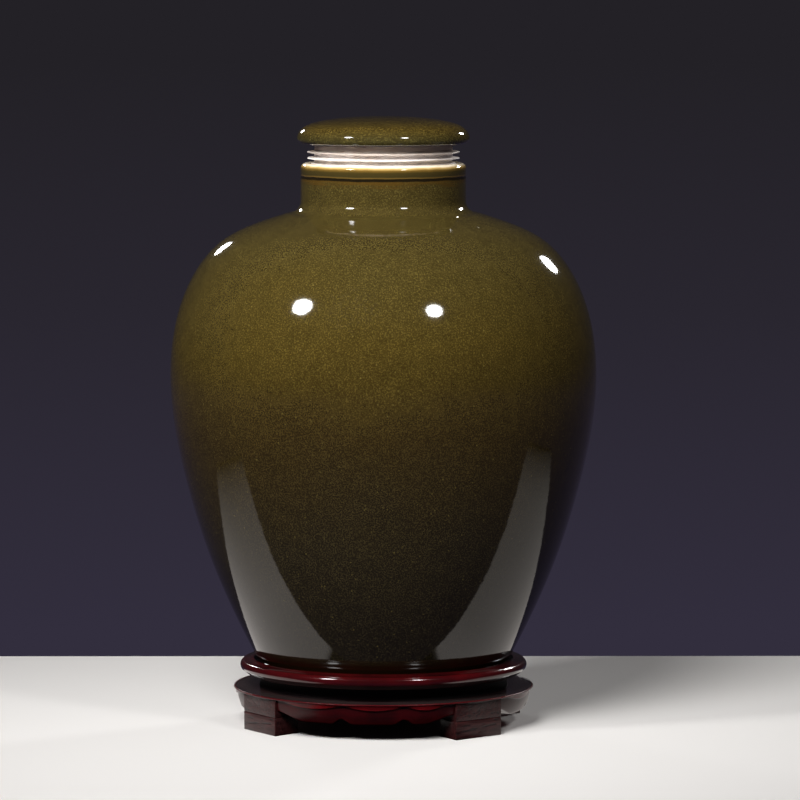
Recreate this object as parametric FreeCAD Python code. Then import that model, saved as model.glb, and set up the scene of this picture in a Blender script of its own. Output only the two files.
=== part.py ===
import FreeCAD, Part
import math
import os

# A glazed stoneware storage jar with a domed stopper lid, standing on a round turned and
# carved wooden stand. Millimetres, +Z up, the jar's axis on Z, the stand's feet on Z = 0.
# The front is -Y. An angle is counted in degrees from the front, growing towards +X.

# ---------------------------------------------------------------- driving dimensions

# Stand: feet
FOOT_HEIGHT = 12.3
FOOT_FRONT = 99.5            # distance of the flat front face from the axis
FOOT_DEPTH = 21.0
FOOT_HALF_ANGLE = 11.5
FOOT_ANGLES = {"front_left": -57.5, "front_right": 40.0, "back_right": 122.5, "back_left": 220.0}
FOOT_BEVEL = 0.4
DOWEL_R = 3.0
DOWEL_LENGTH = 16.0
DOWEL_OFFSET = 9.0           # of each of a foot's two dowels, along its width
DOWEL_END_GAP = 0.4
FOOT_SEAT_GAP = 0.2          # the pocket over a foot is cut this much wider than the foot

# Stand: scalloped apron ring with its flat shelf
SHELF_Z = 25.5
SHELF_THICKNESS = 8.0
APRON_R = 102.4              # outermost point of the edge bead
BEAD_DROP = 2.2              # height of the edge bead
BEAD_TOP_INSET = 1.4         # where the flat shelf turns into the bead
BEAD_UNDER_INSET = 1.0
BEAD_COVE = 0.8              # little slope under the bead
FASCIA_R = 99.8
APRON_INNER_R = 86.0
HEM_Z = 11.2                 # lowest line of the scalloped edge
HEM_INSET = 4.0              # how far the fascia curves in at the scalloped edge
HEM_SPARE = 1.7              # the edge is cut out of a ring that runs this much lower
FASCIA_TURN = 4.5            # height over the edge at which the fascia starts to curve in
FASCIA_TURN_SHARE = 0.25     # share of the inset reached there
HEM_OVERRUN = 1.5            # degrees by which a span's cutter reaches into the legs
HEM_STEPS = 72
NOTCH_RISE = 5.6             # rise of the edge beside each foot
NOTCH_SWEEP = 13.0           # degrees over which it rises
CUSP_RISE = 3.8
CUSP_HALF_WIDTH = 4.6        # degrees
SWAG_R = 101.1               # face of the carved crescents under the bead
SWAG_DEPTH = 2.6             # how far a crescent hangs below the bead
SWAG_LIFT = 0.2              # its tips end this much up inside the bead
SWAG_ROOT = 3.0              # depth of its root inside the ring
SWAG_SPARE = 1.0             # spare stock below it, before its lower line is cut
SWAG_STEPS = 12
CUTTER_IN = 12.0             # a cutter reaches this far inside the apron, and this far outside
CUTTER_OUT = 4.0
CUTTER_DEPTH = 20.0

# Each carved span: the feet beside it, the cusps of its edge and the ends of its crescents.
# The stand repeats itself after half a turn.
SPANS = [
    {"from": "front_left", "to": "front_right", "cusps": [-16.7, 8.2], "swags": [-42.5, -15.8, 8.4, 24.5]},
    {"from": "front_right", "to": "back_right", "cusps": [80.5], "swags": [56.5, 80.5, 106.0]},
]

# Stand: waist, top ring, seat panel, screws
STAND_BORE_R = 74.0
WAIST_R = 85.0
WAIST_HEIGHT = 9.0
WAIST_HOLLOW = 0.8
RING_R = 98.0
RING_UNDERSIDE_R = 93.0
RING_HEIGHT = 10.5
LIP_R = 88.5                 # inner wall of the lip round the jar's foot
LIP_HEIGHT = 5.0
LIP_WIDTH = 2.2
LIP_ROUND = 0.8
LIP_SLOPE = 0.5              # fall of the lip's top over its width
RING_BEVEL_INSET = 1.2       # where the slanted underside turns into the round edge
RING_BEVEL_RISE = 2.8
RING_NOSE_RISE = 5.7         # height of the outermost line over the ring's underside
RING_TOP_INSET = 2.0         # where the round edge turns into the hollow top
RING_TOP_DROP = 1.6
PANEL_R = 76.0
PANEL_THICKNESS = 3.0
PANEL_BORE_R = 70.0
SCREW_CIRCLE_R = 80.5
SCREW_R = 1.75
SCREW_HEAD_R = 3.5
SCREW_HEAD_HEIGHT = 2.0
SCREW_RECESS = 0.8
SCREW_LENGTH = 19.7
SCREW_CLEARANCE = 0.15
SCREW_END_GAP = 0.3
SCREW_ACCESS = 4.0           # length of the driver's way in under the head
SCREW_TIP = 3.0
SCREW_TIP_R = 0.3
SLOT_SIZE = (4.2, 0.8, 1.2)  # each arm of the cross slot: length, width, depth

# Jar
JAR_FOOT_R = 83.0
JAR_FOOT_WIDTH = 9.0
JAR_FOOT_HEIGHT = 2.5
JAR_WALL = 7.0
CAVITY_SAMPLES = 16
JAR_FLOOR = 9.0
FOOT_RING_TAPER = 2.0        # its inner wall leans in by this much
FLOOR_CORNER_HEIGHT = 12.0   # the wall turns into the floor within this height
# The outside of the belly from the foot to the root of the neck: radius and height
BELLY = [(85.0, 42.0), (97.8, 67.1), (116.2, 108.4), (132.4, 158.0), (142.6, 205.0), (145.2, 238.0),
         (142.0, 272.0), (130.0, 305.5), (109.6, 330.0), (85.0, 342.2), (65.0, 348.8)]
NECK_R = 56.2
NECK_ROOT_Z = 356.0
NECK_COVE = (2.4, 2.6)       # middle of the cove at its root: out from the neck, up from the belly
THROAT_RISE = 4.0            # inside, the mouth's bore ends this far below the neck's root
THROAT_MIDDLE = (1.6, 8.5)   # middle of the arc below it: out from the bore, below the root
THROAT_END = (5.5, 12.0)     # its end, where the inside of the belly starts
RIM_Z = 383.0
RIM_OUTER_ROUND = 3.6
RIM_INNER_ROUND = 2.5
MOUTH_R = 49.5
GROOVE_Z = 374.0             # fine turned line round the neck
GROOVE_DEPTH = 0.4

# Lid and its seal
LID_RISE = 13.3              # the lid's underside stands this far above the rim
LID_R = 58.7
LID_HEIGHT = 18.2
# The dome outside the centre: radius and height above the lid's underside
DOME = [(31.6, 16.6), (46.0, 14.1), (52.5, 11.8), (56.3, 8.9), (58.3, 5.6)]
LID_EDGE_RISE = 3.0          # height of the widest line
LID_EDGE_ARC = (1.1, 0.9)    # middle of the round under it: in from the edge, above the underside
LID_UNDER_INSET = 3.4
PLUG_CORNER = (5.0, 1.5)     # reach and middle of the arc under the hollow plug's ceiling
LID_THICKNESS = 9.0
PLUG_R = 44.5
PLUG_WALL = 4.5
PLUG_DEPTH = 24.0
PLUG_BEAD = 1.7              # how far the bead that keeps the seal on stands out
PLUG_BEAD_HEIGHT = 4.0
SEAL_SLEEVE = 2.5
SEAL_FLANGE_R = 50.0
SEAL_FLANGE = 1.0
FIN_PITCH = 4.1
FIN_FREE_R = 51.8            # fins above the mouth
FIN_HELD_R = 49.2            # fins folded inside the mouth
FIN_TOP_DROP = 6.0           # highest fin below the lid's underside
FIN_COUNT = 4
FIN_HALF_ROOT = 1.1
FIN_HALF_TIP = 0.35
FIN_LIFT = 0.5               # the held fins bend up by this much

ORIGIN = FreeCAD.Vector(0, 0, 0)
UP = FreeCAD.Vector(0, 0, 1)

WAIST_Z = SHELF_Z + WAIST_HEIGHT                 # underside of the top ring
SEAT_Z = WAIST_Z + RING_HEIGHT - LIP_HEIGHT      # the jar stands here
LID_Z = RIM_Z + LID_RISE


# ---------------------------------------------------------------- helpers

def at(radius, height, angle=90.0):
    """A point given by radius, height and angle from the front; 90 degrees is the XZ plane."""
    turn = math.radians(angle)
    return FreeCAD.Vector(radius * math.sin(turn), -radius * math.cos(turn), height)


def edges_along(path):
    """Edges through a path in the XZ plane. An entry is a point (r, z), a pair of points for
    an arc through the first to the second, or a ready curve with its end point."""
    edges = []
    here = at(*path[0])
    for step in path[1:]:
        if isinstance(step[0], Part.Edge):
            edges.append(step[0])
            here = step[1]
        elif isinstance(step[0], tuple):
            end = at(*step[1])
            edges.append(Part.Arc(here, at(*step[0]), end).toShape())
            here = end
        else:
            end = at(*step)
            edges.append(Part.makeLine(here, end))
            here = end
    start = at(*path[0])
    if here.distanceToPoint(start) > 1e-6:
        edges.append(Part.makeLine(here, start))
    return edges


def turned(path):
    """A solid turned about the Z axis from a closed outline."""
    face = Part.Face(Part.Wire(edges_along(path)))
    return face.revolve(ORIGIN, UP, 360)


def smooth_curve(points):
    """One spline through points (r, z) in the XZ plane."""
    curve = Part.BSplineCurve()
    curve.interpolate([at(*point) for point in points])
    return curve


def cylinder(radius, height, centre):
    return Part.makeCylinder(radius, height, centre)


def rounded(before, corner, after, reach):
    """Path entries that round a corner with an arc that touches both sides at a distance
    of reach from it."""
    middle = at(*corner)
    start = middle + (at(*before) - middle).normalize() * reach
    end = middle + (at(*after) - middle).normalize() * reach
    half_chord = start.distanceToPoint(end) / 2
    top = middle + ((start + end) * 0.5 - middle) * (1 / (1 + half_chord / reach))
    return [(start.x, start.z), ((top.x, top.z), (end.x, end.z))]


# ---------------------------------------------------------------- stand

def foot_outline(height, grow=0.0):
    """The foot's plan, a block with a flat front and radial sides, at a height. Positive
    grow moves every side outwards."""
    half = math.tan(math.radians(FOOT_HALF_ANGLE))
    front = FOOT_FRONT + grow
    back = FOOT_FRONT - FOOT_DEPTH - grow
    corners = []
    for distance, side in ((front, -1), (front, 1), (back, 1), (back, -1)):
        across = side * (distance * half + grow)
        corners.append(FreeCAD.Vector(across, -distance, height))
    return Part.makePolygon(corners + corners[:1])


def foot_block(angle):
    body = Part.Face(foot_outline(FOOT_BEVEL)).extrude(UP * (FOOT_HEIGHT - 2 * FOOT_BEVEL))
    for low, near, far in ((0.0, -FOOT_BEVEL, 0.0), (FOOT_HEIGHT - FOOT_BEVEL, 0.0, -FOOT_BEVEL)):
        ends = [foot_outline(low, near), foot_outline(low + FOOT_BEVEL, far)]
        body = body.fuse(Part.makeLoft(ends, True, True))
    body = body.removeSplitter()
    for place in dowel_places():
        body = body.cut(cylinder(DOWEL_R, DOWEL_LENGTH, place - UP * (DOWEL_LENGTH / 2)))
    body.rotate(ORIGIN, UP, angle)
    return body


def dowel_places():
    """Where a foot's dowels cross the glue joint, for a foot at the front."""
    middle = FOOT_FRONT - FOOT_DEPTH / 2
    return [FreeCAD.Vector(side * DOWEL_OFFSET, -middle, FOOT_HEIGHT) for side in (-1, 1)]


def foot_dowels():
    dowels = []
    for angle in FOOT_ANGLES.values():
        for place in dowel_places():
            dowel = cylinder(DOWEL_R, DOWEL_LENGTH, place - UP * (DOWEL_LENGTH / 2))
            dowel.rotate(ORIGIN, UP, angle)
            dowels.append(dowel)
    return Part.makeCompound(dowels)


def ease(share):
    """A smooth step from 0 to 1."""
    share = min(max(share, 0.0), 1.0)
    return share * share * (3 - 2 * share)


def hem_height(angle, start, end, cusps):
    """Height of the scalloped edge at an angle of a span between two feet."""
    rise = NOTCH_RISE * (1 - ease(min(angle - start, end - angle) / NOTCH_SWEEP))
    for cusp in cusps:
        rise += CUSP_RISE * ease(1 - abs(angle - cusp) / CUSP_HALF_WIDTH)
    return HEM_Z + rise


def swag_height(angle, start, end):
    """Height of a crescent's lower line."""
    share = min(max((angle - start) / (end - start), 0), 1)
    return SHELF_Z - BEAD_DROP + SWAG_LIFT - (SWAG_DEPTH + SWAG_LIFT) * 4 * share * (1 - share)


def cutter_below(height_at, start, end, steps):
    """Everything in a sector that lies below a height that depends on the angle only."""
    curves = []
    for radius in (APRON_INNER_R - CUTTER_IN, APRON_R + CUTTER_OUT):
        angles = [start + (end - start) * step / steps for step in range(steps + 1)]
        curve = Part.BSplineCurve()
        curve.interpolate([at(radius, height_at(angle), angle) for angle in angles])
        curves.append(curve.toShape())
    top = Part.makeRuledSurface(*curves)
    return top.extrude(UP * -CUTTER_DEPTH)


def hem_cutter(span):
    """Everything below the scalloped edge of one span. It reaches a little into the legs."""
    start = FOOT_ANGLES[span["from"]] + FOOT_HALF_ANGLE
    end = FOOT_ANGLES[span["to"]] - FOOT_HALF_ANGLE

    def edge(angle):
        return hem_height(angle, start, end, span["cusps"])

    return cutter_below(edge, start - HEM_OVERRUN, end + HEM_OVERRUN, HEM_STEPS)


def sector(start, end, low, high):
    """A slice of everything between two angles and two heights."""
    rim = []
    for step in range(SWAG_STEPS + 1):
        angle = start + (end - start) * step / SWAG_STEPS
        rim.append(at(APRON_R + CUTTER_IN, low, angle))
    hub = at(0, low)
    plan = Part.Face(Part.makePolygon([hub] + rim + [hub]))
    return plan.extrude(UP * (high - low))


def swags(stops):
    """A row of crescents carved in relief under the bead, each from one stop to the next."""
    low = SHELF_Z - BEAD_DROP - SWAG_DEPTH - SWAG_SPARE
    top = SHELF_Z - BEAD_DROP / 2
    root = FASCIA_R - SWAG_ROOT
    boss = turned([(root, low), (SWAG_R, low), (SWAG_R, top), (root, top)])
    boss = boss.common(sector(stops[0], stops[-1], low - SWAG_SPARE, top + SWAG_SPARE))
    for start, end in zip(stops, stops[1:]):

        def lower_line(angle):
            return swag_height(angle, start, end)

        boss = boss.cut(cutter_below(lower_line, start - 0.01, end + 0.01, SWAG_STEPS))
    return boss


def apron_ring():
    bead_low = SHELF_Z - BEAD_DROP
    spare_z = HEM_Z - HEM_SPARE
    fascia_middle = (FASCIA_R - HEM_INSET * FASCIA_TURN_SHARE, HEM_Z + FASCIA_TURN)
    ring = turned([
        (STAND_BORE_R, SHELF_Z),
        (APRON_R - BEAD_TOP_INSET, SHELF_Z),
        ((APRON_R, SHELF_Z - BEAD_DROP / 2), (APRON_R - BEAD_UNDER_INSET, bead_low)),
        (FASCIA_R, bead_low - BEAD_COVE),
        (fascia_middle, (FASCIA_R - HEM_INSET, spare_z)),
        (APRON_INNER_R, spare_z),
        (APRON_INNER_R, SHELF_Z - SHELF_THICKNESS),
        (STAND_BORE_R, SHELF_Z - SHELF_THICKNESS),
    ])
    for span in SPANS:
        for half_turn in (0, 180):
            cutter = hem_cutter(span)
            cutter.rotate(ORIGIN, UP, half_turn)
            ring = ring.cut(cutter)
    leg_z = FOOT_HEIGHT + FOOT_BEVEL
    for angle in FOOT_ANGLES.values():
        leg = Part.Face(foot_outline(leg_z)).extrude(UP * (bead_low - leg_z))
        bevel = [foot_outline(FOOT_HEIGHT, -FOOT_BEVEL), foot_outline(leg_z)]
        leg = leg.fuse(Part.makeLoft(bevel, True, True))
        pocket = Part.Face(foot_outline(0, FOOT_SEAT_GAP)).extrude(UP * FOOT_HEIGHT)
        for solid in (leg, pocket):
            solid.rotate(ORIGIN, UP, angle)
        ring = ring.cut(pocket).fuse(leg)
    for span in SPANS:
        for half_turn in (0, 180):
            boss = swags(span["swags"])
            boss.rotate(ORIGIN, UP, half_turn)
            ring = ring.fuse(boss)
    for angle in FOOT_ANGLES.values():
        for place in dowel_places():
            depth = DOWEL_LENGTH / 2 + DOWEL_END_GAP
            hole = cylinder(DOWEL_R, depth, place)
            hole.rotate(ORIGIN, UP, angle)
            ring = ring.cut(hole)
    for screw in screw_angles():
        ring = ring.cut(screw_hole(screw, SCREW_CLEARANCE))
    return ring.removeSplitter()


def waist_ring():
    middle = (WAIST_R - WAIST_HOLLOW, SHELF_Z + WAIST_HEIGHT / 2)
    ring = turned([
        (STAND_BORE_R, SHELF_Z),
        (WAIST_R, SHELF_Z),
        (middle, (WAIST_R, WAIST_Z)),
        (STAND_BORE_R, WAIST_Z),
    ])
    for screw in screw_angles():
        ring = ring.cut(screw_hole(screw, SCREW_CLEARANCE))
    return ring


def top_ring():
    top = SEAT_Z + LIP_HEIGHT
    shoulder = (LIP_R + LIP_WIDTH, top - LIP_SLOPE)
    nose = (RING_R, WAIST_Z + RING_NOSE_RISE)
    ring = turned([
        (PANEL_BORE_R, WAIST_Z),
        (RING_UNDERSIDE_R, WAIST_Z),
        (RING_R - RING_BEVEL_INSET, WAIST_Z + RING_BEVEL_RISE),
        (nose, (RING_R - RING_TOP_INSET, top - RING_TOP_DROP)),
        shoulder,
        *rounded(shoulder, (LIP_R, top), (LIP_R, SEAT_Z), LIP_ROUND),
        (LIP_R, SEAT_Z),
        (PANEL_R, SEAT_Z),
        (PANEL_R, SEAT_Z - PANEL_THICKNESS),
        (PANEL_BORE_R, SEAT_Z - PANEL_THICKNESS),
    ])
    for screw in screw_angles():
        ring = ring.cut(screw_hole(screw, 0))
    return ring


def seat_panel():
    return cylinder(PANEL_R, PANEL_THICKNESS, UP * (SEAT_Z - PANEL_THICKNESS))


def screw_angles():
    """One screw in the middle of each span."""
    angles = []
    for span in SPANS:
        middle = (FOOT_ANGLES[span["from"]] + FOOT_ANGLES[span["to"]]) / 2
        angles += [middle, middle + 180]
    return angles


def screw_hole(angle, clearance):
    head_z = SHELF_Z - SHELF_THICKNESS + SCREW_RECESS
    place = at(SCREW_CIRCLE_R, head_z, angle)
    way_in = SCREW_RECESS + SCREW_ACCESS
    hole = cylinder(SCREW_R + clearance, SCREW_LENGTH + SCREW_END_GAP, place)
    hole = hole.fuse(cylinder(SCREW_HEAD_R, way_in, place - UP * way_in))
    return hole.fuse(Part.makeCone(SCREW_HEAD_R, SCREW_R, SCREW_HEAD_HEIGHT, place))


def ring_screws():
    head_z = SHELF_Z - SHELF_THICKNESS + SCREW_RECESS
    shank = SCREW_LENGTH - SCREW_TIP
    slot_length, slot_width, slot_depth = SLOT_SIZE
    screws = []
    for angle in screw_angles():
        place = at(SCREW_CIRCLE_R, head_z, angle)
        screw = Part.makeCone(SCREW_HEAD_R, SCREW_R, SCREW_HEAD_HEIGHT, place)
        screw = screw.fuse(cylinder(SCREW_R, shank, place))
        screw = screw.fuse(Part.makeCone(SCREW_R, SCREW_TIP_R, SCREW_TIP, place + UP * shank))
        for turn in (45, 135):
            corner = place - FreeCAD.Vector(slot_length / 2, slot_width / 2, 0)
            slot = Part.makeBox(slot_length, slot_width, slot_depth, corner)
            slot.rotate(place, UP, turn)
            screw = screw.cut(slot)
        screws.append(screw.removeSplitter())
    return Part.makeCompound(screws)


# ---------------------------------------------------------------- jar

def inside_of(outside, wall, samples):
    """Points one wall thickness inside a spline that runs up the outside of the jar."""
    first, last = outside.FirstParameter, outside.LastParameter
    points = []
    for step in range(samples + 1):
        place = first + (last - first) * step / samples
        along = outside.tangent(place)[0]
        inward = FreeCAD.Vector(-along.z, 0, along.x)
        inner = outside.value(place) + inward * wall
        points.append((inner.x, inner.z))
    return points


def jar_body():
    outside = smooth_curve(BELLY)
    foot_inner = JAR_FOOT_R - JAR_FOOT_WIDTH
    under_z = SEAT_Z + JAR_FOOT_HEIGHT
    floor_z = under_z + JAR_FLOOR
    cavity_top = (MOUTH_R + THROAT_END[0], NECK_ROOT_Z - THROAT_END[1])
    throat_middle = (MOUTH_R + THROAT_MIDDLE[0], NECK_ROOT_Z - THROAT_MIDDLE[1])
    corner_z = floor_z + FLOOR_CORNER_HEIGHT
    cavity = inside_of(outside, JAR_WALL, CAVITY_SAMPLES)
    cavity = [point for point in cavity if corner_z < point[1] < cavity_top[1] - 1]
    cavity_curve = smooth_curve([cavity_top] + cavity[::-1])
    low = cavity[0]
    slope = (cavity[1][0] - low[0]) / (cavity[1][1] - low[1])
    floor_corner = (low[0] - (low[1] - floor_z) * slope, floor_z)
    floor_round = math.dist(low, floor_corner)
    rim_middle = (NECK_R + MOUTH_R) / 2
    cove_middle = (NECK_R + NECK_COVE[0], BELLY[-1][1] + NECK_COVE[1])
    groove = GROOVE_DEPTH
    return turned([
        (0, under_z),
        (foot_inner - FOOT_RING_TAPER, under_z),
        (foot_inner, SEAT_Z),
        (JAR_FOOT_R, SEAT_Z),
        (BELLY[0][0], BELLY[0][1]),
        (outside.toShape(), at(*BELLY[-1])),
        (cove_middle, (NECK_R, NECK_ROOT_Z)),
        (NECK_R, GROOVE_Z - 2 * groove),
        (NECK_R - groove, GROOVE_Z),
        (NECK_R, GROOVE_Z + 2 * groove),
        *rounded((NECK_R, GROOVE_Z), (NECK_R, RIM_Z), (rim_middle, RIM_Z), RIM_OUTER_ROUND),
        *rounded((rim_middle, RIM_Z), (MOUTH_R, RIM_Z), (MOUTH_R, GROOVE_Z), RIM_INNER_ROUND),
        (MOUTH_R, NECK_ROOT_Z - THROAT_RISE),
        (throat_middle, cavity_top),
        (cavity_curve.toShape(), at(*low)),
        rounded(low, floor_corner, (0, floor_z), floor_round)[1],
        (0, floor_z),
    ])


# ---------------------------------------------------------------- lid

def lid():
    edge_z = LID_Z + LID_EDGE_RISE
    dome_points = [(0, LID_Z + LID_HEIGHT)] + [(r, LID_Z + z) for r, z in DOME] + [(LID_R, edge_z)]
    edge_middle = (LID_R - LID_EDGE_ARC[0], LID_Z + LID_EDGE_ARC[1])
    plug_inner = PLUG_R - PLUG_WALL
    ceiling_z = LID_Z + LID_HEIGHT - LID_THICKNESS
    plug_z = LID_Z - PLUG_DEPTH
    reach, middle = PLUG_CORNER
    return turned([
        (0, LID_Z + LID_HEIGHT),
        (smooth_curve(dome_points).toShape(), at(LID_R, edge_z)),
        (edge_middle, (LID_R - LID_UNDER_INSET, LID_Z)),
        (PLUG_R, LID_Z),
        (PLUG_R, plug_z + PLUG_BEAD_HEIGHT),
        ((PLUG_R + PLUG_BEAD, plug_z + PLUG_BEAD_HEIGHT / 2), (PLUG_R, plug_z)),
        (plug_inner, plug_z),
        (plug_inner, ceiling_z - reach),
        ((plug_inner - middle, ceiling_z - middle), (plug_inner - reach, ceiling_z)),
        (0, ceiling_z),
    ])


def lid_seal():
    sleeve_r = PLUG_R + SEAL_SLEEVE
    flange_z = LID_Z - SEAL_FLANGE
    sleeve_z = LID_Z - PLUG_DEPTH + PLUG_BEAD_HEIGHT
    path = [(PLUG_R, sleeve_z), (sleeve_r, sleeve_z)]
    for count in reversed(range(FIN_COUNT)):
        fin_z = LID_Z - FIN_TOP_DROP - count * FIN_PITCH
        held = fin_z < RIM_Z
        tip_r = FIN_HELD_R if held else FIN_FREE_R
        tip_z = fin_z + FIN_LIFT if held else fin_z
        tip_root = tip_r - FIN_HALF_TIP
        path.append((sleeve_r, fin_z - FIN_HALF_ROOT))
        path.append((tip_root, tip_z - FIN_HALF_TIP))
        path.append(((tip_r, tip_z), (tip_root, tip_z + FIN_HALF_TIP)))
        path.append((sleeve_r, fin_z + FIN_HALF_ROOT))
    path += [(sleeve_r, flange_z), (SEAL_FLANGE_R, flange_z)]
    path += [(SEAL_FLANGE_R, LID_Z), (PLUG_R, LID_Z)]
    return turned(path)


# ---------------------------------------------------------------- export

def main():
    os.makedirs("parts", exist_ok=True)
    nodes = {
        "jar_body": jar_body(),
        "lid": lid(),
        "lid_seal": lid_seal(),
        "top_ring": top_ring(),
        "seat_panel": seat_panel(),
        "waist_ring": waist_ring(),
        "apron_ring": apron_ring(),
        "foot_dowels": foot_dowels(),
        "ring_screws": ring_screws(),
    }
    for name, angle in FOOT_ANGLES.items():
        nodes["foot_" + name] = foot_block(angle)
    for name, shape in nodes.items():
        shape.exportStep("parts/" + name + ".step")
        box = shape.BoundBox
        print(name, "valid", shape.isValid(), "solids", len(shape.Solids), end=" ")
        print("cm3", round(shape.Volume / 1000, 2), "z", round(box.ZMin, 2), round(box.ZMax, 2))


if __name__ == "__main__":
    main()
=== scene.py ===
# %% [markdown]
# # A glazed storage jar on a turned and carved stand
# The engineering model gives every piece its place and size. This lesson gives the pieces their
# looks: smooth turned surfaces, soft carved edges and materials with real depth. Loading comes
# first, because every new piece takes its heights and widths from the loaded ones.

# %% Load the fixed model
import bpy
import math
import numpy as np
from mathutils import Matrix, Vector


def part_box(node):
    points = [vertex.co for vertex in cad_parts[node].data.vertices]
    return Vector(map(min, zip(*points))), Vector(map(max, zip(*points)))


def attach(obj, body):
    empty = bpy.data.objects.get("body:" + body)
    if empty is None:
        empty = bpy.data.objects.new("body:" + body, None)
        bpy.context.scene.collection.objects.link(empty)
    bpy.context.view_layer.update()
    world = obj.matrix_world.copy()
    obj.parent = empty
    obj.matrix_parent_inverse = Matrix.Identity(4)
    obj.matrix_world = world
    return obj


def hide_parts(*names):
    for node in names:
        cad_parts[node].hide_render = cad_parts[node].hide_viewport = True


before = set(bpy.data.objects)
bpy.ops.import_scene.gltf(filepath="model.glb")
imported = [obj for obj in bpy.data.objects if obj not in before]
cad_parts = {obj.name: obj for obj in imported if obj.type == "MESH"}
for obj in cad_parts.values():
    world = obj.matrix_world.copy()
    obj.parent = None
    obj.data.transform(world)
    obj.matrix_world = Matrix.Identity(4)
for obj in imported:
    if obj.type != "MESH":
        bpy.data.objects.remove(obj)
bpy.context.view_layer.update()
MM = 0.001

# %% [markdown]
# The outlines below are drawn in millimetres, the way a potter's or a turner's drawing is. The
# heights that hold the pieces together are not typed again: they are read from the loaded
# pieces, so the new surfaces land on the old ones.

# %% Heights and widths that come from the model
def low_z(node):
    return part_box(node)[0].z / MM


def top_z(node):
    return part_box(node)[1].z / MM


def half_width(node):
    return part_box(node)[1].x / MM


SEAT = low_z("jar_body")
RIM = top_z("jar_body")
BELLY_R = half_width("jar_body")
LID_TOP = top_z("lid")
LID_UNDER = top_z("lid_seal")
LID_R = half_width("lid")
RING_UNDER = low_z("top_ring")
WAIST_HEIGHT = 9.0
SHELF = RING_UNDER - WAIST_HEIGHT
RING_R = half_width("top_ring")
FOOT_TOP = top_z("foot_front_left")
print("seat", round(SEAT, 1), "rim", round(RIM, 1), "lid", round(LID_UNDER, 1), round(LID_TOP, 1))

# %% [markdown]
# ## Camera
# A long lens from nearly four metres keeps the jar's sides almost parallel, as a product
# photographer would. It looks down by five degrees and is turned a hair to the right, so that the
# jar stands a little left of the middle.

# %% Camera
CAMERA_DISTANCE = 3.70
CAMERA_HEIGHT = 0.548
CAMERA_PITCH = 5.05
CAMERA_YAW = 0.175

camera_data = bpy.data.cameras.new("camera")
camera_data.lens = 245
camera_data.sensor_width = 36
camera_data.clip_end = 100
camera = bpy.data.objects.new("camera", camera_data)
bpy.context.scene.collection.objects.link(camera)
camera.location = (0, -CAMERA_DISTANCE, CAMERA_HEIGHT)
camera.rotation_euler = (math.radians(90 - CAMERA_PITCH), 0, math.radians(-CAMERA_YAW))
bpy.context.scene.camera = camera
bpy.context.scene.view_settings.view_transform = "Standard"
print("camera", tuple(round(v, 3) for v in camera.location))

# %% [markdown]
# ## Drawing outlines
# Everything round here was made on a wheel or a lathe. In Blender that is an outline of single
# points, extruded one after the other, and then spun once round the axis. Three small helpers
# give the points: a round through three points, a rounded corner, and a smooth line through a
# few points. The smooth line is a cubic spline, because a glossy glaze shows every kink.

# %% Outline helpers
def arc(start, middle, end, steps=8):
    """Points of the round through three points, without the first one."""
    a, b, c = (complex(*p) for p in (start, middle, end))
    w = (c - a) / (b - a)
    centre = a + (b - a) * (w - abs(w) ** 2) / (2j * w.imag)
    turn = np.angle((c - centre) / (a - centre))
    if abs(np.angle((b - centre) / (a - centre)) / turn - 0.5) > 0.5:
        turn -= math.copysign(2 * math.pi, turn)
    points = [centre + (a - centre) * np.exp(1j * turn * k / steps) for k in range(1, steps + 1)]
    return [(p.real, p.imag) for p in points]


def corner(before, point, after, reach, steps=5):
    """A corner rounded off so that it starts and ends a distance of reach from its point."""
    p, b, a = (np.array(v, float) for v in (point, before, after))
    start = p + (b - p) / np.linalg.norm(b - p) * reach
    end = p + (a - p) / np.linalg.norm(a - p) * reach
    half = np.linalg.norm(end - start) / 2
    top = p + ((start + end) / 2 - p) / (1 + half / reach)
    return [tuple(start)] + arc(start, top, end, steps)


def smooth_line(points, steps):
    """Points on a natural cubic spline through the given ones."""
    p = np.array(points, float)
    t = np.concatenate([[0], np.cumsum(np.hypot(*np.diff(p, axis=0).T))])
    h = np.diff(t)
    n = len(p)
    system = np.eye(n)
    right = np.zeros((n, 2))
    for i in range(1, n - 1):
        system[i, i - 1:i + 2] = h[i - 1], 2 * (h[i - 1] + h[i]), h[i]
        right[i] = 6 * ((p[i + 1] - p[i]) / h[i] - (p[i] - p[i - 1]) / h[i - 1])
    bend = np.linalg.solve(system, right)
    line = []
    for s in np.linspace(0, t[-1], steps + 1):
        i = min(int(np.searchsorted(t, s, side="right")) - 1, n - 2)
        u, v = s - t[i], t[i + 1] - s
        q = (bend[i] * v ** 3 + bend[i + 1] * u ** 3) / (6 * h[i])
        q = q + (p[i] / h[i] - bend[i] * h[i] / 6) * v
        q = q + (p[i + 1] / h[i] - bend[i + 1] * h[i] / 6) * u
        line.append(tuple(q))
    return line


print("a quarter round ends at", [round(v, 2) for v in arc((1, 0), (0.7071, 0.7071), (0, 1))[-1]])

# %% [markdown]
# ## Spinning an outline
# The outline starts as one corner of a plane whose other corners are merged into it. Each
# further point is an extrusion of the last one. The spin then makes the round body, the doubles
# on the axis and at the seam are merged, and the normals are turned outwards.

# %% The lathe
def nothing_selected():
    if bpy.context.object and bpy.context.object.mode != "OBJECT":
        bpy.ops.object.mode_set(mode="OBJECT")
    bpy.ops.object.select_all(action="DESELECT")


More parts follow.
